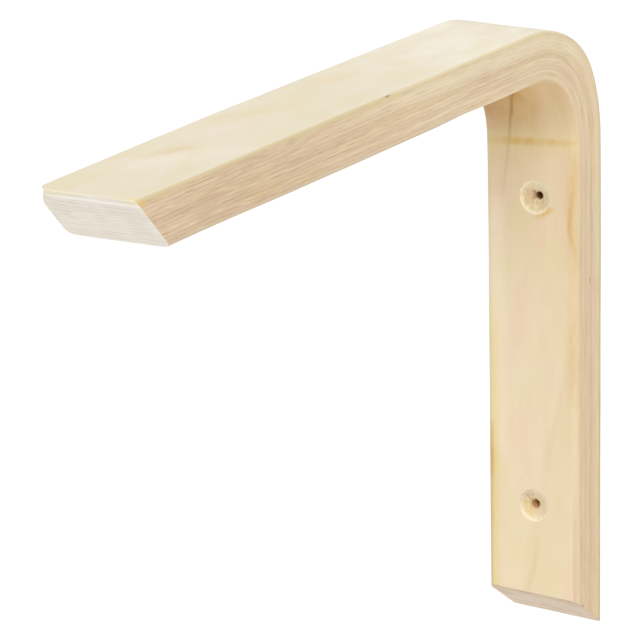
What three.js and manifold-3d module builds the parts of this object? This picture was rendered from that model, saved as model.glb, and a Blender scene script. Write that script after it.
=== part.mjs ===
// A shelf bracket made from one strip of plywood. The plies are glued and pressed round a former into an L, the
// long edges are eased, both ends are sawn at a slant, and the upright leg is drilled and countersunk for two screws.
// Millimetres. The wall is the plane Y = 0, the arm reaches out along -Y, +Z is up and X runs across the strip.
// The origin is on the back of the leg, midway between the two screw holes.
import * as THREE from "three";
import { mergeVertices } from "three/addons/utils/BufferGeometryUtils.js";
import Module from "manifold-3d";

// The pressed strip
const ARM_REACH = 300; // wall to the arm's tip, on the top face
const LEG_HEIGHT = 250; // top face to the leg's foot, on the back face
const STRIP_WIDTH = 40;
const STRIP_THICKNESS = 20;
const FORMER_RADIUS = 30; // inner face of the bend

// Round-overs of the long edges
const OUTER_EDGE_ROUND = 1.5;
const INNER_EDGE_ROUND = 3;

// Sawn ends: degrees that the cut leans from square, so that the outer face is the longer one
const ARM_END_LEAN = 42;
const LEG_END_LEAN = 37;

// Screw holes in the leg, on one line a little to the +X side of the middle
const HOLE_SPACING = 125;
const FOOT_TO_LOWER_HOLE = 52.5;
const HOLE_ASIDE = 1.2;
const BORE_DIAMETER = 4;
const SEAT_DIAMETER = 13; // mouth of the countersink, on the leg's inner face
const SEAT_ANGLE = 90; // degrees, the whole cone

// Facets
const BEND_STEPS = 24;
const EDGE_CURVE_SEGMENTS = 3;
const HOLE_SIDES = 48;

const SPARE = 5; // how far a blank or a cutter runs past the face that it ends on

const bendRadius = FORMER_RADIUS + STRIP_THICKNESS;
const footZ = -FOOT_TO_LOWER_HOLE - HOLE_SPACING / 2;
const topZ = footZ + LEG_HEIGHT;

const wasm = await Module();
wasm.setup();

// A closed geometry as a solid that can be cut.
function solidFrom(geometry) {
  geometry.deleteAttribute("normal");
  geometry.deleteAttribute("uv");
  const merged = mergeVertices(geometry);
  return new wasm.Manifold(
    new wasm.Mesh({
      numProp: 3,
      vertProperties: merged.attributes.position.array,
      triVerts: new Uint32Array(merged.index.array),
    }),
  );
}

// A finished solid as a geometry with a flat normal on each facet.
function geometryFrom(solid) {
  const mesh = solid.getMesh();
  const shared = new THREE.BufferGeometry();
  shared.setAttribute("position", new THREE.BufferAttribute(mesh.vertProperties, mesh.numProp));
  shared.setIndex(new THREE.BufferAttribute(mesh.triVerts, 1));
  const geometry = shared.toNonIndexed();
  geometry.computeVertexNormals();
  return geometry;
}

// The middle line of the outer face: in along the arm, a quarter turn, and down the leg. Its stations are the ends
// of the two straights and even steps of the bend. Both straights run on by the spare length that is sawn off.
class OuterFaceLine extends THREE.Curve {
  getPoint(t, point = new THREE.Vector3()) {
    const lastStation = BEND_STEPS + 2;
    const station = t * lastStation;
    const turned = THREE.MathUtils.clamp(station - 1, 0, BEND_STEPS) / BEND_STEPS;
    const angle = (turned * Math.PI) / 2;
    const alongArm = Math.max(0, 1 - station);
    const alongLeg = Math.max(0, station - lastStation + 1);
    return point.set(
      0,
      -bendRadius + bendRadius * Math.sin(angle) - alongArm * (ARM_REACH - bendRadius + SPARE),
      topZ - bendRadius + bendRadius * Math.cos(angle) - alongLeg * (LEG_HEIGHT - bendRadius + SPARE),
    );
  }

  getUtoTmapping(u) {
    return u;
  }
}

// The strip's section, as depth below the outer face and place across the strip.
function stripSection() {
  const half = STRIP_WIDTH / 2;
  const quarter = Math.PI / 2;
  const corners = [
    { inner: false, side: -1, from: 2 * quarter },
    { inner: true, side: -1, from: 3 * quarter },
    { inner: true, side: 1, from: 0 },
    { inner: false, side: 1, from: quarter },
  ];
  const section = new THREE.Shape();
  for (const { inner, side, from } of corners) {
    const round = inner ? INNER_EDGE_ROUND : OUTER_EDGE_ROUND;
    const depth = inner ? STRIP_THICKNESS - round : round;
    section.absarc(depth, side * (half - round), round, from, from + quarter, false);
  }
  return section;
}

function pressedBlank() {
  return solidFrom(
    new THREE.ExtrudeGeometry(stripSection(), {
      steps: BEND_STEPS + 2,
      curveSegments: EDGE_CURVE_SEGMENTS,
      extrudePath: new OuterFaceLine(),
    }),
  );
}

// The block of space between the two saw cuts: its outline stands clear of the strip except at the slanted ends.
function betweenSawCuts() {
  const armSlope = Math.tan(THREE.MathUtils.degToRad(ARM_END_LEAN));
  const legSlope = Math.tan(THREE.MathUtils.degToRad(LEG_END_LEAN));
  const past = STRIP_THICKNESS + SPARE;
  const outline = new THREE.Shape([
    new THREE.Vector2(-ARM_REACH - SPARE * armSlope, topZ + SPARE),
    new THREE.Vector2(-ARM_REACH + past * armSlope, topZ - past),
    new THREE.Vector2(-bendRadius - SPARE, topZ - bendRadius - SPARE),
    new THREE.Vector2(-past, footZ + past * legSlope),
    new THREE.Vector2(SPARE, footZ - SPARE * legSlope),
    new THREE.Vector2(SPARE, topZ + SPARE),
  ]);
  const depth = STRIP_WIDTH + 2 * SPARE;
  const block = new THREE.ExtrudeGeometry(outline, { depth, bevelEnabled: false });
  block.translate(0, 0, -depth / 2);
  const outlineToSide = new THREE.Matrix4().makeBasis(
    new THREE.Vector3(0, 1, 0),
    new THREE.Vector3(0, 0, 1),
    new THREE.Vector3(1, 0, 0),
  );
  return solidFrom(block.applyMatrix4(outlineToSide));
}

// One hole's cutter: a bore right through the leg and the cone that seats the screw's head.
function screwHole(z) {
  const boreLength = STRIP_THICKNESS + 2 * SPARE;
  const bore = new THREE.CylinderGeometry(BORE_DIAMETER / 2, BORE_DIAMETER / 2, boreLength, HOLE_SIDES);
  bore.translate(HOLE_ASIDE, -STRIP_THICKNESS / 2, z);
  const slope = Math.tan(THREE.MathUtils.degToRad(SEAT_ANGLE / 2));
  const coneRadius = SEAT_DIAMETER / 2 + SPARE * slope;
  const coneHeight = coneRadius / slope;
  const cone = new THREE.ConeGeometry(coneRadius, coneHeight, HOLE_SIDES);
  cone.translate(HOLE_ASIDE, -STRIP_THICKNESS - SPARE + coneHeight / 2, z);
  return solidFrom(bore).add(solidFrom(cone));
}

function bentStrip() {
  let strip = pressedBlank().intersect(betweenSawCuts());
  for (const side of [-1, 1]) {
    strip = strip.subtract(screwHole((side * HOLE_SPACING) / 2));
  }
  const birch = new THREE.MeshStandardMaterial({ color: 0xe6d6b4, roughness: 0.6, metalness: 0 });
  const mesh = new THREE.Mesh(geometryFrom(strip), birch);
  mesh.name = "bent_ply_bracket";
  return mesh;
}

const bracket = new THREE.Group();
bracket.add(bentStrip());

export default bracket;
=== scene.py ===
# %% [markdown]
# # A bent plywood shelf bracket
#
# The real bracket is one strip of birch plywood. Thin veneers are glued in a stack and pressed round a
# former, so the strip turns from a level arm into an upright leg without a joint. The long edges are then
# eased, the two ends are sawn at a slant, and the leg is drilled and countersunk for two screws.
#
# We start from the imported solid. It gives the true size and place, and nothing in this lesson moves or
# resizes it.

import math

import bpy
import numpy as np
from mathutils import Matrix, Vector


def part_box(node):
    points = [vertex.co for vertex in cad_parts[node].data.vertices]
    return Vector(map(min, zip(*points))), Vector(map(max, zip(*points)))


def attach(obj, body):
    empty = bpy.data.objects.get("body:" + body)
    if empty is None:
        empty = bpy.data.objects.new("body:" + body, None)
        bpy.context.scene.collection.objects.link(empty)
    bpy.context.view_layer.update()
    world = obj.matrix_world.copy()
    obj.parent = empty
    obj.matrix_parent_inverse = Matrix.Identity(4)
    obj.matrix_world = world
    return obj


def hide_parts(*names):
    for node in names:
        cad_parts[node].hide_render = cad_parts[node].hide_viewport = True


MM = 0.001
NODE = "bent_ply_bracket"

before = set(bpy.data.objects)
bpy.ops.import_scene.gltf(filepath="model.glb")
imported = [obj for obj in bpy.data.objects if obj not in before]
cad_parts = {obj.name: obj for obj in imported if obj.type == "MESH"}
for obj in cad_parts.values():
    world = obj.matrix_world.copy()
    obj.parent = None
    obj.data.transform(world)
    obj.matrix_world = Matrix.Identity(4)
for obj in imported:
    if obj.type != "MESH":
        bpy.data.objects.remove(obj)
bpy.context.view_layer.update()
low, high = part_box(NODE)
print("packed bracket, mm:", [round(side / MM, 1) for side in (high - low)])

# %% [markdown]
# ## The strip's own measures
#
# The frame tells how far the arm reaches, how high the top is and how wide the strip is. The thickness,
# the bend and the edges can't be read from a box, so they are written here as real sizes, the same as
# those of the solid. Every vertex will be placed by three numbers that a plywood maker would use: how far
# **along** the strip it is, how far **across** it, and how **deep** below the outer face.

# %% Name the strip's sizes
WIDTH = high.x - low.x
ARM_REACH = -low.y
TOP = high.z
FOOT = low.z
THICKNESS = 20 * MM
FORMER_RADIUS = 30 * MM
BEND_RADIUS = FORMER_RADIUS + THICKNESS
OUTER_ROUND = 1.5 * MM
INNER_ROUND = 3 * MM
ARM_END_SLOPE = math.tan(math.radians(42))
LEG_END_SLOPE = math.tan(math.radians(37))
PLIES = 14
PLY = THICKNESS / PLIES

MIDDLE_RADIUS = BEND_RADIUS - THICKNESS / 2
BEND_START = ARM_REACH - BEND_RADIUS
BEND_END = BEND_START + MIDDLE_RADIUS * math.pi / 2
STRIP_END = BEND_END + (TOP - FOOT) - BEND_RADIUS
print("strip length, mm:", round(STRIP_END / MM, 1), "ply, mm:", round(PLY / MM, 2))

# %% [markdown]
# ## The section
#
# A saw cut across the strip shows a rounded rectangle. We could extrude it with a curve's bevel, but then
# the ends couldn't lean and the plies couldn't be felt on the edges. So the section is laid out as rows of
# equal depth, and each row runs from the far edge to the near one. The rows are fine enough that every ply
# gets at least four, so its glue line can later be a real groove.

# %% Lay out the section's rows
ROUND_ROWS = 5
ROWS_PER_PLY = 4
ACROSS_STEPS = 44


def section_rows(inset):
    """Depth and half-width of each row, for the section drawn in by an inset."""
    rows = []
    half = WIDTH / 2 - inset
    outer, inner = OUTER_ROUND - inset, INNER_ROUND - inset
    side_rows = ROWS_PER_PLY * PLIES
    for k in range(ROUND_ROWS):
        turn = math.pi / 2 * k / ROUND_ROWS
        rows.append((inset + outer * (1 - math.cos(turn)), half - outer * (1 - math.sin(turn))))
    for k in range(side_rows + 1):
        rows.append((OUTER_ROUND + (THICKNESS - OUTER_ROUND - INNER_ROUND) * k / side_rows, half))
    for k in range(ROUND_ROWS - 1, -1, -1):
        turn = math.pi / 2 * k / ROUND_ROWS
        rows.append((THICKNESS - inset - inner * (1 - math.cos(turn)), half - inner * (1 - math.sin(turn))))
    return rows


def section_grid(inset):
    """The whole section as a grid: rows by depth, columns across, each entry (across, depth)."""
    share = np.linspace(-1, 1, ACROSS_STEPS + 1)
    return np.array([[(half * u, depth) for u in share] for depth, half in section_rows(inset)])


LAST_ROW = len(section_rows(0)) - 1
rim = [(0, c) for c in range(ACROSS_STEPS)]
rim += [(r, ACROSS_STEPS) for r in range(LAST_ROW)]
rim += [(LAST_ROW, c) for c in range(ACROSS_STEPS, 0, -1)]
rim += [(r, 0) for r in range(LAST_ROW, 0, -1)]
rim_rows, rim_columns = (np.array(part) for part in zip(*rim))
print("section:", LAST_ROW + 1, "rows,", len(rim), "points round the rim")

# %% [markdown]
# ## From section to strip
#
# Each rim is carried to a station: somewhere on the arm, at an angle of the bend, or somewhere on the
# leg. At the two ends the cut leans, so a deep point stops sooner than a shallow one. The last three rims
# before a cut lie close together and the last two shrink a little. That wears the saw's arris to a small
# round, which catches the light as it does on the real bracket.

# %% Carry a section to its station
ARRIS_STEPS = ((0.55 * MM, 0.0), (0.17 * MM, 0.14 * MM), (0.0, 0.5 * MM))
BACK_OF_ARRIS = ARRIS_STEPS[0][0]
END_INSET = ARRIS_STEPS[-1][1]


def on_arm(section, share, back):
    """A section at a share of the way from the tip to the bend, with the tip set back a little."""
    across, depth = section[..., 0], section[..., 1]
    tip = -ARM_REACH + depth * ARM_END_SLOPE + back
    return np.stack([across, tip + (-BEND_RADIUS - tip) * share, TOP - depth], -1)


def on_bend(section, turn):
    """A section at an angle of the bend."""
    across, depth = section[..., 0], section[..., 1]
    radius = BEND_RADIUS - depth
    y = radius * math.sin(turn) - BEND_RADIUS
    z = TOP - BEND_RADIUS + radius * math.cos(turn)
    return np.stack([across, y, z], -1)


def on_leg(section, share, back):
    """A section at a share of the way from the bend to the foot, with the foot set back a little."""
    across, depth = section[..., 0], section[..., 1]
    end = FOOT + depth * LEG_END_SLOPE + back
    return np.stack([across, -depth, end + (TOP - BEND_RADIUS - end) * (1 - share)], -1)


ARM_STATIONS = 150
BEND_STATIONS = 44
LEG_STATIONS = 122


def section_rim(inset):
    """Only the points round the section's rim, in order."""
    return section_grid(inset)[rim_rows, rim_columns]


full_rim = section_rim(0)
rims = [on_arm(section_rim(inset), 0, back) for back, inset in reversed(ARRIS_STEPS)]
rims += [on_arm(full_rim, k / ARM_STATIONS, BACK_OF_ARRIS) for k in range(1, ARM_STATIONS)]
rims += [on_bend(full_rim, math.pi / 2 * k / BEND_STATIONS) for k in range(BEND_STATIONS + 1)]
rims += [on_leg(full_rim, k / LEG_STATIONS, BACK_OF_ARRIS) for k in range(1, LEG_STATIONS)]
rims += [on_leg(section_rim(inset), 1, back) for back, inset in ARRIS_STEPS]
print("stations:", len(rims))

# %% [markdown]
# ## Knit the mesh
#
# Rims are joined by quads. Each end is closed by the section's own grid, whose outer points are the last
# rim's, so the skin is one closed body without doubled points.


# %% Join rims and close the ends
def knit(rings, around):
    """Quads that join each ring of points to the next one."""
    quads = []
    for k in range(rings - 1):
        for j in range(around):
            a, b = k * around + j, k * around + (j + 1) % around
            quads.append((a, b, b + around, a + around))
    return quads


around = len(rim)
points = [np.concatenate(rims)]
faces = knit(len(rims), around)


def close_end(place, first_rim_point, facing_out):
    """Adds a grid over one end."""
    grid = place(section_grid(END_INSET))
    index = np.full(grid.shape[:2], -1)
    index[rim_rows, rim_columns] = first_rim_point + np.arange(around)
    inner = index < 0
    first_new = sum(len(part) for part in points)
    index[inner] = first_new + np.arange(inner.sum())
    points.append(grid[inner])
    for r in range(index.shape[0] - 1):
        for c in range(index.shape[1] - 1):
            quad = (index[r, c], index[r + 1, c], index[r + 1, c + 1], index[r, c + 1])
            faces.append(quad if facing_out else quad[::-1])


skin_faces = (len(rims) - 1) * around
close_end(lambda section: on_arm(section, 0, 0), 0, True)
close_end(lambda section: on_leg(section, 1, 0), skin_faces, False)
body_points = np.concatenate(points)
print("points:", len(body_points), "faces:", len(faces))

# %% [markdown]
# ## Where on the strip is a point?
#
# The wood's pattern has to follow the plies round the bend. So we also need the way back: from a point in
# space to its place along, across and deep. The arm and the leg are straight, and between them the angle
# about the centre of the bend counts. The finishes read this place from an attribute called `strip`.
#
# Pressed wood is seldom quite true. This arm twists by a millimetre towards its tip, the outer face of
# its bend is squarer than a circle, its near lower edge runs slightly thin, and the inside of the bend is
# fuller at the far edge. Each such swell is a smooth hump with a place along the strip, a height and a
# reach, and on the inner face it belongs to one edge. The place on the strip is told as if they weren't
# there.


# %% Find the place on the strip
TWIST = 1.0 * MM
TWIST_REACH = 95 * MM
OUTER_SWELLS = ((262, -0.5, 9), (285, 1.0, 11), (308, -0.45, 14))
NEAR_EDGE, FAR_EDGE = 1, -1
INNER_SWELLS = ((42, 0.42, 32, NEAR_EDGE), (199, 0.42, 15, NEAR_EDGE), (300, -1.0, 16, FAR_EDGE))


def true_place(p):
    """Along, across and deep, for points of a true strip."""
    arm_along, arm_depth = ARM_REACH + p[:, 1], TOP - p[:, 2]
    leg_along, leg_depth = BEND_END + TOP - BEND_RADIUS - p[:, 2], -p[:, 1]
    out, up = p[:, 1] + BEND_RADIUS, p[:, 2] - (TOP - BEND_RADIUS)
    turn = np.clip(np.arctan2(out, up), 0, math.pi / 2)
    bend_along, bend_depth = BEND_START + MIDDLE_RADIUS * turn, BEND_RADIUS - np.hypot(out, up)
    in_arm, in_leg = out < 0, up < 0
    along = np.where(in_arm, arm_along, np.where(in_leg, leg_along, bend_along))
    depth = np.where(in_arm, arm_depth, np.where(in_leg, leg_depth, bend_depth))
    return np.stack([along, p[:, 0], depth], 1)


def twist(p):
    """How far the arm's tip hangs: nothing at the near edge, most at the far one."""
    to_tip = np.maximum(1 - (ARM_REACH + p[:, 1]) / TWIST_REACH, 0)
    return np.outer(TWIST * to_tip * (WIDTH / 2 - p[:, 0]) / WIDTH, (0, 0, 1))


def hump(value, at, reach):
    """1 at a place, falling smoothly to 0 around it."""
    return np.exp(-(((value - at) / reach) ** 2))


def swell(place):
    """How far the swells push a place towards the outer side."""
    along, share = place[:, 0] / MM, place[:, 2] / THICKNESS
    across = place[:, 1] / WIDTH
    outer = sum(height * hump(along, at, reach) for at, height, reach in OUTER_SWELLS)
    inner = 0
    for at, height, reach, side in INNER_SWELLS:
        inner = inner + height * hump(along, at, reach) * (0.5 + side * across)
    return MM * (outer * (1 - share) + inner * share)


def out_of_true(p):
    """Where points of a true strip lie on this one."""
    place = true_place(p)
    turn = np.clip((place[:, 0] - BEND_START) / MIDDLE_RADIUS, 0, math.pi / 2)
    outward = np.stack([0 * turn, np.sin(turn), np.cos(turn)], 1)
    p = p + outward * swell(place)[:, None]
    return p - twist(p)


def strip_place(p):
    """Along, across and deep, for points of this strip."""
    place = true_place(p + twist(p))
    place[:, 2] += swell(place)
    return place


def edge_share(place):
    """0 on the two broad faces, 1 on the laminated edges, and the turn between them on the round-overs."""
    across, depth = np.abs(place[:, 1]), place[:, 2]
    outer_half = depth < THICKNESS / 2
    radius = np.where(outer_half, OUTER_ROUND, INNER_ROUND)
    below = np.where(outer_half, depth, THICKNESS - depth)
    past = np.maximum(across - (WIDTH / 2 - radius), 0)
    left = np.maximum(radius - below, 0)
    return np.arctan2(past, left) / (math.pi / 2)


place = true_place(body_points)
print("along runs from", round(place[:, 0].min() / MM, 1), "to", round(place[:, 0].max() / MM, 1))

# %% [markdown]
# ## Relief that a thumb would feel
#
# Sanding takes soft wood faster than glue and late wood, so the edges are finely ribbed ply by ply, and
# the broad faces are a few hundredths of a millimetre out of true. Smooth random waves make both. They
# are sums of sines with fixed seeds, so every run gives the same bracket. Three small knocks dent the
# near edge, each with a place on the strip, a radius and a depth. Nearly all of this relief goes inwards.


# %% Carve the ribs, the waviness and the knocks
def waves(place, lengths, seed, count=9):
    """A smooth random field, mostly between -1 and 1, with wavelengths along, across and deep."""
    draw = np.random.default_rng(seed)
    total = np.zeros(len(place))
    for _ in range(count):
        pace = 2 * math.pi * draw.uniform(0.6, 1.6, 3) * draw.choice((-1, 1), 3) / np.array(lengths)
        total += np.sin(place @ pace + draw.uniform(0, 2 * math.pi))
    return total / math.sqrt(count)


share = edge_share(place)
ply_place = place[:, 2] / PLY
to_glue_line = np.abs(ply_place - np.round(ply_place))
PLY_SEED, RIB_SEED, FACE_SEED = 7, 11, 12
ply_lows = np.random.default_rng(PLY_SEED).uniform(0, 1, PLIES + 1)
low_plies = ply_lows[np.clip(ply_place.astype(int), 0, PLIES)]
GROOVE_DEPTH = 0.07 * MM
GROOVE_HALF_IN_PLIES = 0.16
PLY_STEP = 0.06 * MM
RIB_WAVES = (30 * MM, 60 * MM, 3 * MM)
WAVINESS = 0.05 * MM
FACE_WAVES = (70 * MM, 22 * MM, 200 * MM)
rib = GROOVE_DEPTH * hump(to_glue_line, 0, GROOVE_HALF_IN_PLIES) + PLY_STEP * low_plies
rib *= 0.75 + 0.25 * waves(place, RIB_WAVES, RIB_SEED)
flat = WAVINESS * (1 + waves(place, FACE_WAVES, FACE_SEED)) / 2
sink = share * rib + flat

KNOCKS = (((147.6, 20, 0.4), 1.4, 0.4), ((498.5, 20, 15.3), 1.0, 0.4), ((368, 20, 9.5), 1.1, 0.25))
for at, radius, depth in KNOCKS:
    away = np.linalg.norm(place / MM - at, axis=1)
    sink += depth * MM * hump(away, 0, radius)
print("deepest relief, mm:", round(sink.max() / MM, 2))

# %% [markdown]
# ## Make the piece
#
# Blender finds the outward direction of each vertex, and the relief pushes against it. The ends are left
# alone here: their saw marks are finer than the mesh and belong to the finish. Then the strip is put out
# of true, and the far corner of its tip, which is blunt on the real bracket, is pushed in.


# %% Build the Blender mesh and push the relief in
def stand(name, data):
    """Puts a new object into the scene."""
    made = bpy.data.objects.new(name, data)
    bpy.context.scene.collection.objects.link(made)
    return made


mesh = bpy.data.meshes.new("bent_ply")
mesh.from_pydata(body_points.tolist(), [], faces)
mesh.validate()
mesh.update()
normals = np.zeros(len(mesh.vertices) * 3)
mesh.vertices.foreach_get("normal", normals)
inward = -normals.reshape(-1, 3)
on_strip = np.arange(len(body_points)) < len(rims) * around
moved = out_of_true(body_points + inward * (sink * on_strip)[:, None])

WEAR = 3.3 * MM
WEAR_REACH = np.array((3.0, 3.2, 4.0)) * MM
WEAR_TOWARDS = (0.72, 0.68, 0.0)
behind_cut = place[:, 0] - place[:, 2] * ARM_END_SLOPE
from_corner = np.stack([behind_cut, place[:, 1] + WIDTH / 2, place[:, 2]], 1)
wear = WEAR * np.exp(-((from_corner / WEAR_REACH) ** 2).sum(axis=1))
moved += np.outer(wear, WEAR_TOWARDS)
mesh.vertices.foreach_set("co", moved.astype(np.float32).ravel())
bracket = stand("bent_ply", mesh)

WOOD, SAWN, DRILLED = range(3)
arris_faces = (len(ARRIS_STEPS) - 1) * around
kind = np.full(len(faces), SAWN, np.int32)
kind[arris_faces : skin_faces - arris_faces] = WOOD
mesh.polygons.foreach_set("material_index", kind)
print("triangles:", 2 * len(mesh.polygons))

# %% [markdown]
# ## Drill and countersink
#
# The holes could be part of the grid, but a boolean is how the real ones are made: something is taken
# away. The cutter is turned on a lathe profile, a thin bore that opens into a cone. A hand-held
# countersink chatters and tears the veneer, so the cone's wall wavers and its mouth is ragged on one
# side. The two holes aren't quite in line or equally deep, and the lower bore starts a little off its
# seat's middle, as on the real strip.

# %% Turn the cutters and cut
SEAT_RADIUS = 6.5 * MM
PAST = 2 * MM
CUTTER_SIDES = 96
BORE_RINGS = 8
SEAT_RINGS = 26
CHATTER = 0.055 * MM
CHATTER_LOBES = (2, 3, 5, 9, 14)
CHATTER_SPIRAL = 60
CUTTER_SEED = 40
HOLES = (
    {"aside": 1.7 * MM, "height": 62.5 * MM, "bore": 1.55 * MM, "seat": 3.9 * MM,
     "off": (0, 0), "tear": 0.3 * MM, "towards": 150},
    {"aside": 0.8 * MM, "height": -62.5 * MM, "bore": 1.85 * MM, "seat": 3.0 * MM,
     "off": (-0.7 * MM, -0.2 * MM), "tear": 0.8 * MM, "towards": 120},
)


def cutter(name, hole, seed):
    """A bore and a chattered cone, as one closed body about the hole's axis."""
    draw = np.random.default_rng(seed)
    turn = np.arange(CUTTER_SIDES) * 2 * math.pi / CUTTER_SIDES
    towards = math.radians(hole["towards"])
    growth = (SEAT_RADIUS - hole["bore"]) / hole["seat"]
    foot_of_seat = -(THICKNESS - hole["seat"])
    profile = [(hole["bore"], PAST)]
    profile += [(hole["bore"], foot_of_seat * k / BORE_RINGS) for k in range(1, BORE_RINGS + 1)]
    for k in range(1, SEAT_RINGS + 1):
        deep = (hole["seat"] + PAST) * k / SEAT_RINGS
        profile.append((hole["bore"] + growth * deep, foot_of_seat - deep))
    lobes = [(n, draw.uniform(0, 2 * math.pi)) for n in CHATTER_LOBES]
    torn_side = np.maximum(np.cos(turn - towards), 0) ** 2
    rows = []
    for radius, y in profile:
        openness = max(0.0, (radius - hole["bore"]) / (SEAT_RADIUS - hole["bore"]))
        spiral = CHATTER_SPIRAL * openness
        waver = sum(math.sqrt(1 / n) * np.cos(n * turn + phase + spiral / n) for n, phase in lobes)
        ragged = hole["tear"] * torn_side * draw.uniform(0, 1, CUTTER_SIDES)
        grown = radius + openness * (CHATTER * waver + ragged * openness**2)
        off = max(0.0, 1 - openness)
        x = hole["aside"] + hole["off"][0] * off + grown * np.cos(turn)
        z = hole["height"] + hole["off"][1] * off + grown * np.sin(turn)
        rows.append(np.stack([x, np.full(CUTTER_SIDES, y), z], 1))
    skin = knit(len(rows), CUTTER_SIDES)
    skin.append(tuple(range(CUTTER_SIDES))[::-1])
    skin.append(tuple(range((len(rows) - 1) * CUTTER_SIDES, len(rows) * CUTTER_SIDES)))
    made = bpy.data.meshes.new(name)
    made.from_pydata(np.concatenate(rows).tolist(), [], skin)
    made.update()
    made.polygons.foreach_set("material_index", np.full(len(skin), DRILLED, np.int32))
    return stand(name, made)


def apply_modifiers(thing):
    """Turns what the modifiers show into the object's own mesh."""
    graph = bpy.context.evaluated_depsgraph_get()
    done = bpy.data.meshes.new_from_object(thing.evaluated_get(graph))
    thing.modifiers.clear()
    thing.data = done


slots = [bpy.data.materials.new(name) for name in ("birch_ply", "sawn_ply", "drilled_ply")]
for slot_material in slots:
    bracket.data.materials.append(slot_material)
for number, hole in enumerate(HOLES):
    tool = cutter(f"cutter_{number}", hole, CUTTER_SEED + number)
    for slot_material in slots:
        tool.data.materials.append(slot_material)
    cut = bracket.modifiers.new("hole", "BOOLEAN")
    cut.operation = "DIFFERENCE"
    cut.solver = "EXACT"
    cut.object = tool
    apply_modifiers(bracket)
    bpy.data.objects.remove(tool)
print("after drilling:", len(bracket.data.vertices), "points,", len(bracket.data.polygons), "faces")

# %% [markdown]
# ## Write the places and smooth the shading
#
# After cutting, the place on the strip is worked out again for every vertex, so the walls of the holes
# know which ply they cut through. Faces are shaded smooth, but an edge sharper than a limit stays crisp:
# that keeps the rims of the holes and lets the worn arrises look round.

# %% Store the attributes
SHARP_EDGE = math.radians(38)
mesh = bracket.data
co = np.zeros(len(mesh.vertices) * 3)
mesh.vertices.foreach_get("co", co)
place = strip_place(co.reshape(-1, 3))
strip = mesh.attributes.new("strip", "FLOAT_VECTOR", "POINT")
strip.data.foreach_set("vector", place.astype(np.float32).ravel())
edge = mesh.attributes.new("edge", "FLOAT", "POINT")
edge.data.foreach_set("value", edge_share(place).astype(np.float32))
mesh.polygons.foreach_set("use_smooth", np.ones(len(mesh.polygons), bool))
mesh.set_sharp_from_angle(angle=SHARP_EDGE)
mesh.update()

# %% [markdown]
# ## A small kit for finishes
#
# Each finish is a graph of shader nodes. Writing `nodes.new` and `links.new` for each would hide the
# idea, so one class holds the graph, and most of its methods add a node or two and hand back an output.
# Sizes are in millimetres, because the first thing every finish does is to read `strip` and multiply it.


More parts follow.
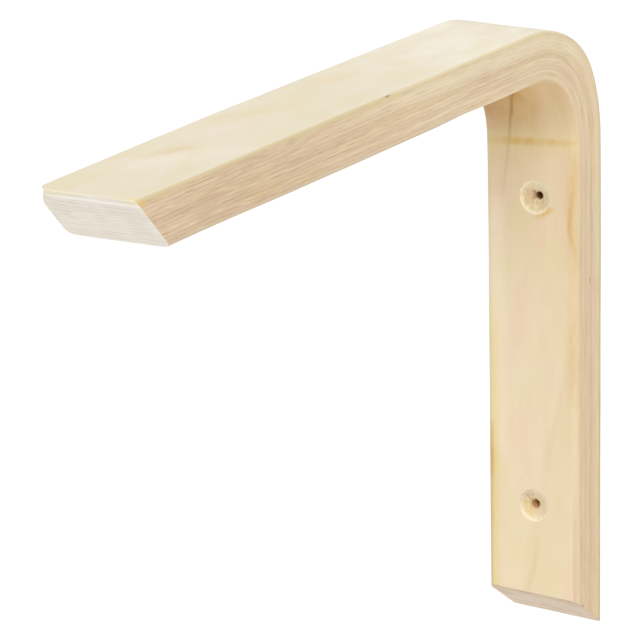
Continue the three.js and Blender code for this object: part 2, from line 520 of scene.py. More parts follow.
# %% Helpers that add nodes
class Finish:
    """One material's node graph."""

    def __init__(self, material):
        material.use_nodes = True
        self.tree = material.node_tree
        self.surface = self.tree.nodes["Principled BSDF"]
        self.place = self.scaled(self.attribute("strip", "Vector"), (1 / MM, 1 / MM, 1 / MM))
        self.along, self.across, self.depth = self.parts(self.place)

    def add(self, kind, inputs, output=0, **settings):
        """Adds a node, feeds its inputs and hands back one output."""
        made = self.tree.nodes.new(kind)
        for name, value in settings.items():
            setattr(made, name, value)
        for key, value in inputs.items():
            self.feed(made.inputs[key], value)
        return made.outputs[output]

    def feed(self, socket, value):
        """Links another node's output to a socket, or sets the socket's own value."""
        if isinstance(value, bpy.types.NodeSocket):
            self.tree.links.new(value, socket)
        else:
            socket.default_value = value

    def attribute(self, name, output):
        return self.add("ShaderNodeAttribute", {}, output, attribute_name=name)

    def scaled(self, vector, by):
        return self.add("ShaderNodeVectorMath", {0: vector, 1: by}, operation="MULTIPLY")

    def parts(self, vector):
        made = self.tree.nodes.new("ShaderNodeSeparateXYZ")
        self.tree.links.new(vector, made.inputs[0])
        return made.outputs[:]

    def joined(self, x, y, z):
        return self.add("ShaderNodeCombineXYZ", {0: x, 1: y, 2: z})

    def math(self, operation, a, b=0.0, c=0.0):
        return self.add("ShaderNodeMath", {0: a, 1: b, 2: c}, operation=operation)

    def times(self, *values):
        product = values[0]
        for value in values[1:]:
            product = self.math("MULTIPLY", product, value)
        return product

    def opposite(self, share):
        return self.math("SUBTRACT", 1.0, share)

    def from_whole(self, value):
        """How far a value is from the nearest whole number."""
        return self.math("ABSOLUTE", self.math("SUBTRACT", value, self.math("ROUND", value)))

    def noise(self, place, pace, detail=2.0, roughness=0.5):
        """Smooth noise. Pace is how fast it changes per mm along, across and deep."""
        sockets = {"Vector": self.scaled(place, pace), "Scale": 1.0, "Detail": detail}
        return self.add("ShaderNodeTexNoise", {**sockets, "Roughness": roughness})

    def swayed(self, value, noise, by):
        """A value that noise pushes up and down."""
        return self.math("MULTIPLY_ADD", self.math("SUBTRACT", noise, 0.5), by, value)

    def ramp(self, value, start, end, low=0.0, high=1.0):
        """Goes smoothly from low to high while the value goes from start to end."""
        sockets = {"Value": value, "From Min": start, "From Max": end, "To Min": low, "To Max": high}
        return self.add("ShaderNodeMapRange", sockets, interpolation_type="SMOOTHSTEP")

    def fall(self, value, start, end):
        return self.ramp(value, start, end, 1.0, 0.0)

    def between(self, value, start, full, fading, end):
        """1 between two places, fading to 0 on both sides."""
        return self.times(self.ramp(value, start, full), self.fall(value, fading, end))

    def follow(self, value, points):
        """Reads a smooth curve through points (place, height), flat beyond its ends."""
        (start, _), (end, _) = points[0], points[-1]
        low = min(h for _, h in points)
        span = max(max(h for _, h in points) - low, 1e-6)
        unit = self.add("ShaderNodeMapRange", {"Value": value, "From Min": start, "From Max": end})
        made = self.tree.nodes.new("ShaderNodeFloatCurve")
        line = made.mapping.curves[0]
        spots = [((p - start) / (end - start), (h - low) / span) for p, h in points]
        line.points[0].location, line.points[1].location = spots[0], spots[-1]
        for spot in spots[1:-1]:
            line.points.new(*spot)
        made.mapping.update()
        self.feed(made.inputs["Value"], unit)
        return self.math("MULTIPLY_ADD", made.outputs[0], span, low)

    def mix(self, share, a, b):
        """Colour a where the share is 0, colour b where it is 1."""
        made = self.tree.nodes.new("ShaderNodeMix")
        made.data_type = "RGBA"
        self.feed(made.inputs["Factor"], share)
        self.feed(made.inputs[6], a)
        self.feed(made.inputs[7], b)
        return made.outputs[2]

    def shade(self, colour, share, amount):
        """Darkens a colour where the share is 1 by the amount, and lightens it for a negative amount."""
        factor = self.math("MULTIPLY_ADD", share, -amount, 1.0)
        return self.add("ShaderNodeVectorMath", {0: colour, "Scale": factor}, operation="SCALE")

    def dress(self, tint, roughness, height, relief):
        """Feeds the surface. Relief is how high the bump stands where the height is 1."""
        self.feed(self.surface.inputs["Base Color"], tint)
        self.feed(self.surface.inputs["Roughness"], roughness)
        bump = self.add("ShaderNodeBump", {"Height": height, "Distance": relief, "Strength": 1.0})
        self.feed(self.surface.inputs["Normal"], bump)


def colour(red, green, blue):
    """A linear colour from the 0 to 255 values that a colour picker shows."""
    linear = [((v / 255 + 0.055) / 1.055) ** 2.4 for v in (red, green, blue)]
    return (*linear, 1.0)


# %% [markdown]
# ## Marks on the wood
#
# What makes a piece of birch this piece of birch is a handful of marks: a mineral stain and soft clouds
# on the arm's top, a yellow streak down the far edge of the leg, a wavy one by its near edge, a dark
# grain line that runs up into the bend, and the long arch of a growth ring. Each is listed as a path: how
# far along, how far across and how strong. One function draws them all. A streak is strong at its path
# and fades to both sides, and a zone fills one side of it.

# %% Say how a mark is drawn
BEND_FOOT = BEND_END / MM


def on_leg_at(height):
    """How far along the strip, in mm, a height on the leg lies."""
    return BEND_FOOT + (TOP - BEND_RADIUS) / MM - height


def down_leg(*spots):
    """A path from heights on the leg, so that the list reads like a ruler held against it."""
    return tuple((on_leg_at(z), x, s) for z, x, s in spots)


def fainter(path, share):
    """The same path at a share of its strength."""
    return tuple((a, c, share * s) for a, c, s in path)


def mark(half, tint, path, wander=1.0, zone=False):
    """One mark. Half is half its width in mm, wander is how far it strays from its path."""
    return {"half": half, "tint": colour(*tint), "path": sorted(path), "wander": wander, "zone": zone}


def draw_marks(f, made, marks, cross, here):
    """Draws marks over a colour. Cross is what a path's second number measures, here is where they show."""
    wobble = f.noise(f.place, (0.06, 0.03, 0.03))
    broken = f.ramp(f.noise(f.place, (0.2, 0.9, 0.9)), 0.3, 0.6, 0.65, 1.0)
    for each in marks:
        half = each["half"]
        centre = f.follow(f.along, [(a, c) for a, c, _ in each["path"]])
        strength = f.follow(f.along, [(a, s) for a, _, s in each["path"]])
        off = f.math("SUBTRACT", cross, f.swayed(centre, wobble, each["wander"]))
        if each["zone"]:
            side = f.ramp(off, -half, half)
        else:
            side = f.fall(f.math("ABSOLUTE", off), half * 0.2, half * 1.6)
        made = f.mix(f.times(side, strength, broken, here), made, each["tint"])
    return made


# %% List the marks of the arm's top
TOP_MARKS = (
    # creamy clouds
    mark(6, (224, 208, 164), ((98, -7, 0), (108, -6, 0.27), (122, -4, 0.27), (134, -3, 0))),
    mark(4.5, (226, 206, 156), ((148, -11, 0), (156, -9, 0.45), (164, -8, 0.4), (172, -6, 0))),
    # a white cloud and a pink one
    mark(7, (238, 232, 218), ((28, -4, 0), (42, -1, 0.3), (54, 7, 0.3), (70, 11, 0))),
    mark(6, (234, 214, 198), ((78, -6, 0), (88, -5, 0.4), (96, -5, 0.3), (106, -4, 0))),
    # the mineral stain and the thin line beside it
    mark(3.0, (222, 193, 146), ((50, -6, 0), (55, -5, 0.42), (58, -4.2, 0.42), (63, -3.4, 0))),
    mark(1.4, (222, 198, 152), ((42, -9.4, 0), (50, -8.6, 0.25), (60, -8, 0.2), (68, -8, 0))),
    # the two corners of the tip
    mark(7, (224, 212, 170), ((-4, -12, 0.3), (8, -14, 0.35), (26, -15, 0))),
    mark(3.5, (230, 212, 146), ((-4, 17, 0.6), (2, 17.8, 0.45), (7, 18.6, 0))),
)

# %% List the marks of the leg's face
ARCH = down_leg(
    (10, 17.8, 0), (-2, 16.2, 0.35), (-12.7, 13.8, 0.5), (-22.5, 11.6, 0.55), (-32.8, 8.8, 0.55),
    (-42.6, 6.6, 0.5), (-51, 5.8, 0.35), (-71.5, 1.3, 0.35), (-80.4, -1, 0.32), (-90.3, -2, 0.28),
    (-102, -3.8, 0.24))
GRAIN_LINE_IN_BEND = (
    (BEND_FOOT - 46, 3, 0), (BEND_FOOT - 40.7, 1.1, 0.6), (BEND_FOOT - 29, -3.2, 1.0),
    (BEND_FOOT - 21.9, -5.4, 1.0), (BEND_FOOT - 15, -6.7, 0.85), (BEND_FOOT - 9, -8, 0.5))
GRAIN_LINE_ON_LEG = down_leg(
    (83.6, -9.2, 0.26), (74.4, -10.4, 0.2), (66.3, -11.6, 0.12), (56.6, -13.5, 0.06), (42, -15.4, 0))
LEG_MARKS = (
    # the growth ring's arch, browner on its near side
    mark(4.5, (211, 189, 147), fainter(ARCH, 0.5), zone=True),
    mark(1.6, (212, 184, 136), fainter(ARCH, 0.4)),
    # the yellow far edge and the orange streak in it
    mark(2.6, (221, 196, 122), down_leg(
        (28, -17.4, 0), (14, -17, 0.4), (4, -16.8, 0.75), (-8, -16.8, 0.75), (-22, -16.8, 0.7),
        (-35, -17, 0.7), (-52.5, -17.2, 0.7), (-69, -17.2, 0.6), (-84, -17.2, 0.55), (-98, -17.4, 0.55),
        (-116, -17.4, 0.55)), wander=0.6),
    mark(1.2, (212, 164, 84), down_leg(
        (-30, -18.2, 0), (-40, -18.2, 0.8), (-50, -18.3, 0.85), (-58, -18.4, 0.3), (-70, -18.4, 0.3),
        (-76, -18.4, 0)), wander=0.6),
    # the browner near side and a pale stripe by the far one
    mark(6, (208, 182, 138), down_leg(
        (84, 13, 0.1), (70, 12, 0.35), (50, 12, 0.4), (30, 13, 0.3), (0, 14, 0.25), (-40, 16, 0.12),
        (-70, 18, 0)), zone=True),
    mark(4, (240, 228, 198), down_leg(
        (62, -15, 0), (50, -15.5, 0.4), (20, -15.5, 0.4), (-20, -15, 0.3), (-44, -14, 0))),
    # the wavy streak by the near edge, from its soft border to its orange core
    mark(2.2, (208, 174, 118), down_leg(
        (84, 18.6, 0), (74, 18, 0.4), (57, 17.6, 0.4), (44, 18.5, 0.35), (32, 18.5, 0.2), (7, 17.8, 0.3),
        (-20, 18, 0))),
    mark(1.1, (206, 172, 92), down_leg(
        (84, 19.2, 0), (78.2, 19, 0.3), (67.6, 18.4, 0.5), (59, 17.4, 0.4), (50, 17, 0.2), (40, 19, 0.25),
        (28, 19, 0.1), (6.9, 17.9, 0.2), (-1.1, 17.9, 0.2), (-14, 18, 0)), wander=0.5),
    mark(0.9, (206, 154, 84), down_leg(
        (66, 18, 0), (61, 17.2, 0.2), (56.9, 16.6, 0.45), (51.7, 16.6, 0.45), (46.7, 17.6, 0.25),
        (42, 19.1, 0.1), (38, 20, 0)), wander=0.4),
    # a stain under the upper hole and one under the lower
    mark(2.0, (214, 176, 92), down_leg(
        (59.8, 8.2, 0), (58, 7.4, 0.8), (56.6, 5.8, 0.8), (55, 3.6, 0.5), (53.8, 3, 0)), wander=0.6),
    mark(1.3, (208, 178, 134), down_leg(
        (-74, 2.6, 0), (-82, 1.8, 0.3), (-90, 0.4, 0.35), (-97, -1.6, 0.3), (-103, -3, 0))),
    # the dark grain line
    mark(0.8, (162, 112, 56), fainter(GRAIN_LINE_IN_BEND + GRAIN_LINE_ON_LEG, 0.85), wander=0.4),
)

# %% List the marks of the laminated edge
EDGE_MARKS = (
    # the outer veneer's band, on the arm and on the leg
    mark(1.2, (214, 197, 148), (
        (-5, 0.7, 0.2), (60, 0.8, 0.3), (140, 0.9, 0.6), (180, 1, 0.4), (240, 1, 0.4),
        (330, 1.1, 0)), wander=0.4),
    mark(1.6, (204, 176, 114), (
        (290, 0.8, 0), (330, 0.8, 0.5), (400, 0.8, 0.85), (530, 0.8, 1)), wander=0.4),
    # a pale band under it, where the arm meets the bend
    mark(2.6, (230, 217, 188), (
        (130, 4.4, 0), (180, 4.2, 0.4), (240, 4.2, 0.6), (265, 4.2, 0.4), (290, 4.2, 0)), wander=0.4),
    # the yellow corner of the tip
    mark(1.7, (226, 188, 112), ((-4, 1.2, 0.8), (2, 1.2, 0.8), (7, 1.4, 0))),
    # the lower border, pale round the bend, and brown on the arm as painted shade under the round-over
    mark(1.3, (232, 212, 172), (
        (196, 18.8, 0), (212, 18.6, 0.6), (240, 18.5, 0.8), (275, 18.2, 0.6), (330, 18.2, 0.3),
        (380, 18.6, 0)), wander=0.4),
    mark(0.9, (176, 148, 114), (
        (-5, 18.8, 0.7), (60, 19, 0.5), (150, 19.2, 0.4), (185, 19.2, 0.6), (205, 19.4, 0)), wander=0.3),
    # an ochre spot on the arm, a dark speck at the foot's arris and a faint knock higher up the leg
    mark(1.9, (212, 180, 122), ((62, 15.6, 0), (67, 15.4, 0.4), (74, 14.6, 0.35), (80, 14, 0))),
    mark(0.6, (140, 84, 54), down_leg((-101.6, 15.3, 0), (-103.6, 15.3, 0.8), (-105.6, 15.3, 0)), wander=0),
    mark(0.5, (150, 110, 74), down_leg((31, 9.5, 0), (29.5, 9.5, 0.45), (28, 9.5, 0)), wander=0),
)
print("marks:", len(TOP_MARKS) + len(LEG_MARKS) + len(EDGE_MARKS))

# %% [markdown]
# ## The broad faces: rotary-cut birch
#
# Rotary-cut birch is pale and nearly plain. Its colour drifts between cream, pink and yellow in soft
# blotches that are a little longer with the grain. Over that lie fibres and short pores. All of these are
# noise read at different stretches. The outer veneer is painted whiter than the inner one, as painted
# sheen on the top, and whitest near the bend, so each face has its own three tones.


# %% Colour the veneers
APART = 90.0


def veneer(f, inner):
    """The colour of both faces and two heights. The faces read the noise far apart, so they differ."""
    sheet = f.joined(f.along, f.across, f.math("MULTIPLY", inner, APART))
    patch = f.noise(sheet, (0.03, 0.062, 1), 2.5)
    pink = f.noise(sheet, (0.034, 0.1, 1.7), 2.5)
    fibre = f.noise(sheet, (0.045, 1.3, 2.3), 3.0, 0.6)
    fine = f.noise(sheet, (0.2, 5.0, 3.1), 2.0, 0.6)
    near_bend = f.ramp(f.along, 140.0, 220.0)
    # Painted sheen: the outer face's tones are whiter than the inner face's.
    sheen_white = f.mix(near_bend, colour(226, 217, 193), colour(235, 229, 211))
    cream = f.mix(near_bend, colour(225, 213, 181), colour(230, 220, 194))
    plain = f.mix(inner, sheen_white, colour(229, 210, 177))
    yellow = f.mix(inner, cream, colour(226, 208, 168))
    rosy = f.mix(inner, colour(230, 218, 198), colour(229, 204, 174))
    made = f.mix(f.ramp(patch, 0.42, 0.66, 0.0, 0.85), plain, yellow)
    made = f.mix(f.ramp(pink, 0.46, 0.66, 0.0, 0.8), made, rosy)
    made = f.shade(made, f.ramp(fibre, 0.3, 0.7, -1.0, 1.0), 0.009)
    made = f.shade(made, f.ramp(fine, 0.58, 0.78), 0.045)
    return made, fibre, fine


# %% [markdown]
# Under the bend the veneer is painted golden and darker: partly the wood's own colour there and partly
# painted shade under the arm. The former's end left a mottled line across the face, a little out of
# square, and past that line the gold soon ends. Both are drawn from how far along the strip a point is.
# The far side is painted browner and the near side lighter, as painted shade and light across the face.

# %% Colour the pressed round and its painted shade
# The golds carry painted shade under the bend, and the rose gold is the browner painted shade of the far
# side.
GOLD_AND_SHADE = colour(190, 147, 74)
ROSE_GOLD_SHADE = colour(184, 140, 84)
PRESS_OCHRE = colour(206, 171, 84)
PRESS_YELLOW = colour(222, 200, 142)
FORMER_SKEW = 0.09
PRESS_LINE = BEND_FOOT + 0.5
GOLD_SHADE_ALONG = (
    (236, 0), (254, 0.6), (275, 0.95), (292, 0.88), (304, 0.6), (BEND_FOOT, 0.36), (BEND_FOOT + 4, 0.22),
    (342, 0.12), (385, 0))
LINE_ACROSS = ((-20, 0.1), (-16, 0.4), (-8, 0.75), (-4, 1), (3, 0.8), (12, 0.6), (18, 0.5), (20, 0.3))


def pressed_round_and_shade(f, made, inner):
    """Lays the gold and painted shade of the bend, and the former's line, over a colour."""
    blotch = f.noise(f.place, (0.06, 0.14, 0.1), 3.0, 0.6)
    skewed = f.math("MULTIPLY_ADD", f.across, FORMER_SKEW, f.along)
    strength = f.follow(skewed, GOLD_SHADE_ALONG)
    # Painted light: the gold thins towards the near edge, as if that side were lit.
    painted_light_across = f.ramp(f.across, -6, 12, 1.05, 0.55)
    varied = f.ramp(blotch, 0.3, 0.7, 0.86, 1.1)
    tint = f.mix(f.ramp(f.across, -17, -2), ROSE_GOLD_SHADE, GOLD_AND_SHADE)
    made = f.mix(f.times(strength, painted_light_across, varied, inner), made, tint)
    ragged = f.noise(f.place, (0.05, 0.3, 0.3), 4.0, 0.6)
    near = f.math("ABSOLUTE", f.math("SUBTRACT", f.swayed(skewed, ragged, 0.6), PRESS_LINE))
    made = f.mix(f.times(f.ramp(near, 0.0, 8.0, 0.4, 0.0), inner), made, PRESS_YELLOW)
    line = f.fall(near, 0.4, 2.6)
    mottle = f.ramp(f.noise(f.place, (0.12, 0.35, 0.3), 2.0, 0.6), 0.34, 0.64, 0.45, 0.85)
    reach = f.follow(f.across, LINE_ACROSS)
    return f.mix(f.times(line, mottle, reach, inner), made, PRESS_OCHRE)


# %% [markdown]
# ## The laminated edges
#
# On the edges the veneers show as thin parallel bands. Some plies are browner, because their grain lies
# across and shows its end, so each ply gets a tone from a list, from 0 for brown to 1 for pale. A smooth
# curve runs through the tones, since sanding blurs the glue lines. Cut pores make short dark dashes along
# the grain, and short pale dashes are painted glints. Both are liveliest near the tip, where the edge as a
# whole is a shade browner.


# %% Colour the edges
PLY_TONES = (0.8, 0.6, 1.0, 0.8, 0.7, 0.35, 0.1, 0.65, 0.5, 0.35, 0.75, 0.35, 0.45, 0.7)
NEAR_TIP = ((0, 1), (90, 0.9), (170, 0.15), (200, 0), (530, 0))
LIVELINESS = ((0, 1), (110, 0.9), (200, 0.65), (300, 0.6), (530, 0.55))
DIM_ALONG = (
    (30, 0), (60, 0.8), (85, 0.8), (120, 0), (310, 0), (332, 1), (366, 1), (395, 0.4), (530, 0.4))


def laminated_edge(f):
    """The colour and the height of the edges."""
    depth = f.swayed(f.depth, f.noise(f.place, (0.02, 0.05, 0.15)), 0.6)
    tone = f.follow(depth, [(PLY / MM * (number + 0.5), tone) for number, tone in enumerate(PLY_TONES)])
    to_line = f.from_whole(f.math("DIVIDE", depth, PLY / MM))
    near_tip = f.follow(f.along, NEAR_TIP)
    lively = f.follow(f.along, LIVELINESS)
    side = f.joined(f.along, f.math("MULTIPLY", f.across, 0.6), depth)
    drift = f.noise(side, (0.03, 1, 0.2), 2.0)
    gold = f.noise(side, (0.024, 1.3, 0.24), 2.0)
    streak = f.noise(side, (0.03, 1.3, 1.3), 3.0, 0.62)
    dash = f.noise(side, (0.085, 1.9, 2.4), 2.0, 0.6)
    painted_glint = f.noise(side, (0.075, 2.7, 2.2), 2.0, 0.6)
    presence = f.noise(side, (0.03, 3.1, 0.8), 1.0)
    made = f.mix(tone, colour(211, 185, 148), colour(230, 211, 174))
    made = f.mix(f.times(near_tip, 0.4), made, colour(204, 172, 140))
    made = f.mix(f.ramp(f.along, 330.0, 490.0, 0.0, 0.25), made, colour(208, 176, 130))
    made = f.shade(made, f.follow(f.along, DIM_ALONG), 0.045)
    made = f.mix(f.ramp(drift, 0.42, 0.64, 0.0, 0.35), made, colour(218, 186, 158))
    made = f.mix(f.ramp(gold, 0.5, 0.68, 0.0, 0.35), made, colour(222, 198, 150))
    made = f.shade(made, f.times(f.ramp(streak, 0.3, 0.7, -1.0, 1.0), lively), 0.055)
    line = f.times(f.fall(to_line, 0.02, 0.22), f.ramp(presence, 0.36, 0.56, 0.3, 1.0))
    made = f.mix(f.times(line, f.ramp(f.along, 90.0, 170.0, 0.5, 0.3)), made, colour(190, 156, 118))
    made = f.mix(f.times(f.ramp(dash, 0.54, 0.7, 0.0, 0.6), lively), made, colour(188, 150, 112))
    # Painted highlight: short pale glints along the grain.
    made = f.mix(f.times(f.ramp(painted_glint, 0.54, 0.7, 0.0, 0.42), lively), made, colour(240, 222, 192))
    height = f.math("SUBTRACT", f.math("MULTIPLY", streak, 0.6), f.ramp(dash, 0.54, 0.72))
    return made, height


# %% [markdown]
# ## Faces, edges and the arrises between them
#
# The attribute `edge` says how far a point has turned from a face to an edge, and mixes the two. On the
# upper arris an olive line is painted shade where the round-over turns away from the light, with one dark
# nick in it. The lower arris gets a brown line of painted shade.

# %% Finish the wood
FACE_RELIEF = 0.05 * MM
NICK = (147.6, 19.7, 0.333)
NICK_STRETCH = (0.36, 1, 1.2)
# Where along the strip the lower arris gets its brown line of painted shade.
BROWN_ARRIS_SHADE_ALONG = ((0, 1), (150, 0.9), (188, 0.9), (210, 0), (420, 0), (470, 0.5), (530, 0.7))


def ply_wood(f):
    """Dresses the faces, the edges and the arrises."""
    edge_turn = f.attribute("edge", "Fac")
    inner = f.ramp(f.depth, 9.0, 11.0)
    outer = f.opposite(inner)
    face, fibre_height, fine_height = veneer(f, inner)
    face = pressed_round_and_shade(f, face, inner)
    face = draw_marks(f, face, TOP_MARKS, f.across, outer)
    face = draw_marks(f, face, LEG_MARKS, f.across, inner)
    edges, edge_height = laminated_edge(f)
    edges = draw_marks(f, edges, EDGE_MARKS, f.depth, f.ramp(f.across, 0.0, 1.0))
    is_edge = f.mix(inner, f.ramp(edge_turn, 0.3, 0.75), f.ramp(edge_turn, 0.5, 0.95))
    made = f.mix(is_edge, face, edges)
    # Painted shade: an olive line where the upper round-over turns away from the light.
    upper_arris_shade = f.times(f.between(edge_turn, 0.05, 0.3, 0.6, 0.9), outer)
    arris_shade_tint = f.mix(f.ramp(f.along, 143.0, 165.0), colour(200, 181, 134), colour(214, 199, 158))
    arris_shade_tint = f.mix(f.ramp(f.along, 290.0, 340.0), arris_shade_tint, colour(206, 182, 136))
    made = f.mix(f.times(upper_arris_shade, 0.6), made, arris_shade_tint)
    from_nick = {0: f.scaled(f.place, NICK_STRETCH), 1: f.scaled(NICK, NICK_STRETCH)}
    to_nick = f.add("ShaderNodeVectorMath", from_nick, "Value", operation="DISTANCE")
    made = f.mix(f.ramp(to_nick, 0.3, 0.95, 0.85, 0.0), made, colour(108, 72, 38))
    # Painted shade: a brown line along the lower round-over, on the arm and low on the leg.
    lower_arris_shade = f.times(f.between(edge_turn, 0.1, 0.3, 0.5, 0.75), inner)
    brown = f.times(lower_arris_shade, f.follow(f.along, BROWN_ARRIS_SHADE_ALONG), 0.6)
    made = f.mix(brown, made, colour(176, 150, 116))
    face_height = f.math("MULTIPLY_ADD", fine_height, 0.5, fibre_height)
    height = f.add("ShaderNodeMix", {"Factor": is_edge, 2: face_height, 3: edge_height})
    f.dress(made, f.ramp(fibre_height, 0.3, 0.7, 0.5, 0.62), height, FACE_RELIEF)


ply_wood(Finish(slots[WOOD]))

# %% [markdown]
# ## The sawn ends
#
# Sawn across, the plies show their end grain: grey-cream and duller than the faces, with one fine line
# per glue line. The foot is browner than the arm's tip. At the tip's upper arris the outer veneer was
# sanded through, so a line of it shows on the slant, with a whiter ply under it.


# %% Colour the sawn ends
SAW_RELIEF = 0.06 * MM
SANDED_DEPTH = ((-20, 3.2), (-15, 2.2), (-9, 1.5), (-1, 0.5), (7, 0.1), (16, 0.2), (20, 1.6))


def sawn_end(f):
    """Dresses both ends. They share a material, and how far along a point is tells which one it is on."""
    foot = f.ramp(f.along, 240.0, 260.0)
    tip = f.opposite(foot)
    depth = f.swayed(f.depth, f.noise(f.place, (0.02, 0.05, 0.2)), 1.1)
    ply = f.math("DIVIDE", depth, PLY / MM)
    tone = f.add("ShaderNodeTexWhiteNoise", {"W": f.math("FLOOR", ply)}, noise_dimensions="1D")
    to_line = f.from_whole(ply)
    presence = f.noise(f.place, (0.1, 0.12, 0.8), 1.0)
    grain = f.noise(f.place, (0.9, 0.09, 2.4), 3.0, 0.6)
    speck = f.noise(f.place, (1.6, 1.4, 2.4), 2.0, 0.6)
    patch = f.noise(f.place, (0.05, 0.09, 0.12), 2.0)
    pale = f.mix(foot, colour(227, 219, 204), colour(206, 184, 156))
    light = f.mix(foot, colour(232, 225, 212), colour(216, 198, 174))
    cool = f.mix(foot, colour(222, 213, 200), colour(198, 176, 156))
    made = f.mix(tone, pale, light)
    made = f.mix(f.ramp(patch, 0.42, 0.66, 0.0, 0.7), made, cool)
    line = f.times(f.fall(to_line, 0.02, 0.18), f.ramp(presence, 0.38, 0.6, 0.3, 1.0))
    made = f.shade(made, line, 0.16)
    made = f.shade(made, f.ramp(grain, 0.35, 0.7, -0.6, 1.0), 0.045)
    made = f.shade(made, f.ramp(speck, 0.6, 0.8), 0.06)
    white_line = f.times(f.between(f.depth, 1.0, 1.9, 2.2, 3.4), tip, 0.75)
    made = f.mix(white_line, made, colour(246, 240, 228))
    below_sanded = f.math("SUBTRACT", f.depth, f.follow(f.across, SANDED_DEPTH))
    sanded = f.times(f.fall(below_sanded, -0.4, 0.3), tip)
    made = f.mix(f.times(sanded, 0.7), made, colour(228, 219, 188))
    corner = f.times(f.fall(f.depth, 0.4, 3.2), f.ramp(f.across, 14.0, 19.0), tip)
    made = f.mix(f.times(corner, 0.45), made, colour(234, 214, 160))
    # Painted shadow: a brown line along the foot end's border with the inner face.
    rim = f.times(f.ramp(f.depth, 18.6, 19.6), foot)
    made = f.mix(f.times(rim, 0.25), made, colour(168, 134, 98))
    f.dress(made, f.ramp(grain, 0.3, 0.7, 0.62, 0.75), f.math("SUBTRACT", grain, speck), SAW_RELIEF)


sawn_end(Finish(slots[SAWN]))

# %% [markdown]
# ## The drilled wood
#
# The cone cuts slantwise through a few plies, so it shows faint rings. Its lip is painted pale, most on its
# lower side, as a painted highlight, and the upper part of the upper cone gets a paler painted highlight.
# The drill rubbed the wood near the bore and left brown smears. In the lower seat the veneer tore out in
# tufts at the upper left. The bores are brown, and the lower one's wall is painted light, as if lit, so the
# upper one is darker.


# %% Colour the holes
SEAT_MARKS = (
    mark(0.7, (132, 88, 48), down_leg(
        (64.6, -0.6, 0), (63.6, 0.1, 0.8), (62.4, 0.1, 0.85), (60.8, -0.2, 0)), wander=0.5),
    mark(1.5, (206, 168, 120), down_leg(
        (66, -1.6, 0), (63.6, -1.8, 0.55), (61, -1.4, 0.5), (59, -1, 0)), wander=1.5),
    mark(2.0, (214, 190, 128), down_leg(
        (-61, -2.8, 0), (-62.6, -2.6, 0.75), (-65, -1.8, 0.75), (-67, -1, 0))),
)
TORN_RELIEF = 0.3 * MM
BARE_ROUGHNESS = 0.75


def drilled(f):
    """Dresses the seats and the bores of both holes."""
    heights = [hole["height"] / MM for hole in HOLES]
    seat_feet = [(THICKNESS - hole["seat"]) / MM for hole in HOLES]
    upper = f.fall(f.along, on_leg_at(2), on_leg_at(-2))
    lower = f.opposite(upper)
    centre = f.math("MULTIPLY_ADD", upper, heights[1] - heights[0], on_leg_at(heights[1]))
    down = f.math("SUBTRACT", f.along, centre)
    to_line = f.from_whole(f.math("DIVIDE", f.depth, PLY / MM))
    torn = f.noise(f.place, (0.35, 0.9, 0.9), 4.0, 0.65)
    fuzz = f.noise(f.place, (1.1, 2.2, 2.2), 2.0, 0.6)
    tuft = f.noise(f.place, (0.5, 1.7, 0.8), 2.0, 0.6)
    made = f.mix(f.ramp(torn, 0.35, 0.65), colour(222, 202, 162), colour(238, 224, 190))
    made = f.mix(f.times(lower, 0.5), made, colour(226, 204, 170))
    made = f.shade(made, f.fall(to_line, 0.05, 0.3), 0.05)
    made = f.shade(made, f.ramp(fuzz, 0.52, 0.75), 0.1)
    # Painted highlight: the upper part of the upper cone is paler.
    made = f.mix(f.times(upper, f.ramp(down, -5.0, -1.0, 0.5, 0.0)), made, colour(226, 218, 184))
    tufts = f.times(f.fall(down, -1.5, 0.5), f.fall(f.across, -1.0, 1.5), lower)
    made = f.mix(f.times(tufts, f.ramp(tuft, 0.5, 0.62, 0.0, 0.6)), made, colour(176, 150, 112))
    made = draw_marks(f, made, SEAT_MARKS, f.across, 1.0)
    # Painted highlight: the lip is pale, most on its lower side.
    lip_highlight = f.times(f.ramp(f.depth, 19.2, 19.7), f.ramp(down, -1.0, 4.0, 0.3, 0.7))
    lip_highlight = f.times(lip_highlight, f.math("MULTIPLY_ADD", lower, -0.4, 1.0))
    made = f.mix(lip_highlight, made, colour(252, 240, 212))
    seat_foot = f.math("MULTIPLY_ADD", lower, seat_feet[1] - seat_feet[0], seat_feet[0])
    above_foot = f.math("SUBTRACT", f.depth, seat_foot)
    made = f.mix(f.ramp(above_foot, -0.05, 0.4, 0.4, 0.0), made, colour(196, 150, 104))
    # Painted light: the lower bore's wall is pale as if lit, and the upper one stays brown.
    lit_wall = f.mix(f.ramp(tuft, 0.4, 0.6), colour(218, 170, 106), colour(250, 220, 168))
    wall = f.mix(upper, lit_wall, colour(152, 104, 44))
    made = f.mix(f.fall(above_foot, -1.6, -0.1), made, wall)
    f.dress(made, BARE_ROUGHNESS, f.math("MULTIPLY_ADD", tufts, tuft, torn), TORN_RELIEF)


drilled(Finish(slots[DRILLED]))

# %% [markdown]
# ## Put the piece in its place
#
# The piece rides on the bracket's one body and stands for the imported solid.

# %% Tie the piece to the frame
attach(bracket, "root")
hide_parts(NODE)

# %% [markdown]
# ## Floor and light
#
# The bracket hangs on a wall, so nothing stands under it. A pale floor lies well below, far enough that
# no shadow of the bracket can be told on it and that views from underneath still clear it. Light is that
# of a white studio. A dim white surround fills the shadows. The main light is a sun lamp with a very wide
# disc, which acts as a large soft box overhead: the top shines, the round under the bend falls into
# shade, and the floor is evenly white.

# %% Lay the floor and set the lights
FLOOR_DROP = 2.6
FLOOR_SIZE = 240.0
FLOOR_TINT = (0.94, 0.94, 0.94, 1)
FLOOR_ROUGHNESS = 0.9
SURROUND_STRENGTH = 0.55
SUN_STRENGTH = 2.25
SUN_DISC = math.radians(60)
SUN_FROM = Vector((0.28, -0.5, 0.82))

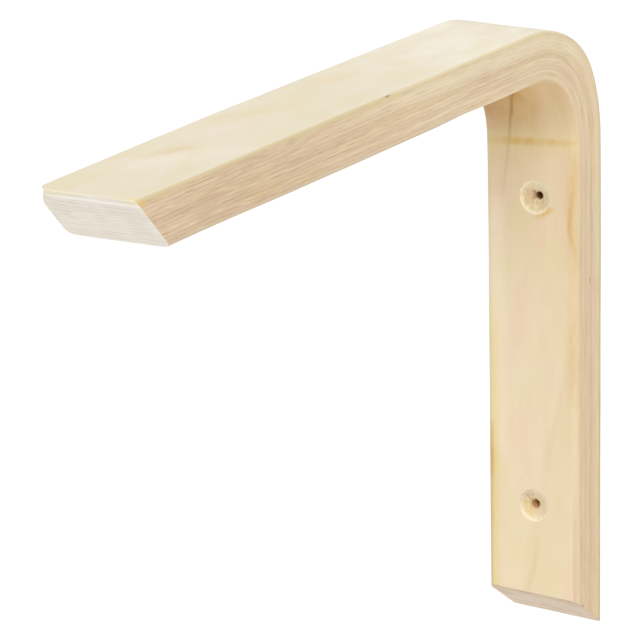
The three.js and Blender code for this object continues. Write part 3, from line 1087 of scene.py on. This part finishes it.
floor_mesh = bpy.data.meshes.new("floor")
half = FLOOR_SIZE / 2
corners = [(-half, -half, 0), (half, -half, 0), (half, half, 0), (-half, half, 0)]
floor_mesh.from_pydata(corners, [], [(0, 1, 2, 3)])
floor = stand("floor", floor_mesh)
floor.location = (0, 0, FOOT - FLOOR_DROP)
paint = bpy.data.materials.new("pale_floor")
paint.use_nodes = True
floor_surface = paint.node_tree.nodes["Principled BSDF"]
floor_surface.inputs["Base Color"].default_value = FLOOR_TINT
floor_surface.inputs["Roughness"].default_value = FLOOR_ROUGHNESS
floor_mesh.materials.append(paint)

world = bpy.data.worlds.new("studio")
world.use_nodes = True
surround = world.node_tree.nodes["Background"]
surround.inputs["Color"].default_value = (1.0, 1.0, 1.0, 1)
surround.inputs["Strength"].default_value = SURROUND_STRENGTH
bpy.context.scene.world = world

sun_data = bpy.data.lights.new("overhead", "SUN")
sun_data.energy = SUN_STRENGTH
sun_data.angle = SUN_DISC
sun = stand("overhead", sun_data)
sun.rotation_mode = "QUATERNION"
sun.rotation_quaternion = SUN_FROM.to_track_quat("Z", "Y")
bpy.context.scene.view_settings.view_transform = "Standard"

# %% [markdown]
# ## The camera
#
# The photograph was taken with a long lens from above and to the right. The measured outline of the
# bracket gives the direction, the distance and a small roll.

# %% Stand the camera
AZIMUTH = math.radians(33.17)
ELEVATION = math.radians(18.08)
ROLL = math.radians(-1.39)
DISTANCE = 1346.6 * MM
AIM = Vector((-78.5, -47.8, 9.2)) * MM
FOCAL_PIXELS = 3462
IMAGE_PIXELS = 640
CLIP_START = 0.05
back = Vector((
    math.sin(AZIMUTH) * math.cos(ELEVATION),
    -math.cos(AZIMUTH) * math.cos(ELEVATION),
    math.sin(ELEVATION),
))
right = Vector((math.cos(AZIMUTH), math.sin(AZIMUTH), 0))
up = back.cross(right)
rolled_right = math.cos(ROLL) * right + math.sin(ROLL) * up
rolled_up = math.cos(ROLL) * up - math.sin(ROLL) * right
camera_data = bpy.data.cameras.new("camera")
camera_data.lens = camera_data.sensor_width * FOCAL_PIXELS / IMAGE_PIXELS
camera_data.clip_start = CLIP_START
camera_data.clip_end = 2 * FLOOR_SIZE
camera = stand("camera", camera_data)
turned = Matrix((rolled_right, rolled_up, back)).transposed()
camera.matrix_world = Matrix.Translation(AIM + back * DISTANCE) @ turned.to_4x4()
bpy.context.scene.camera = camera
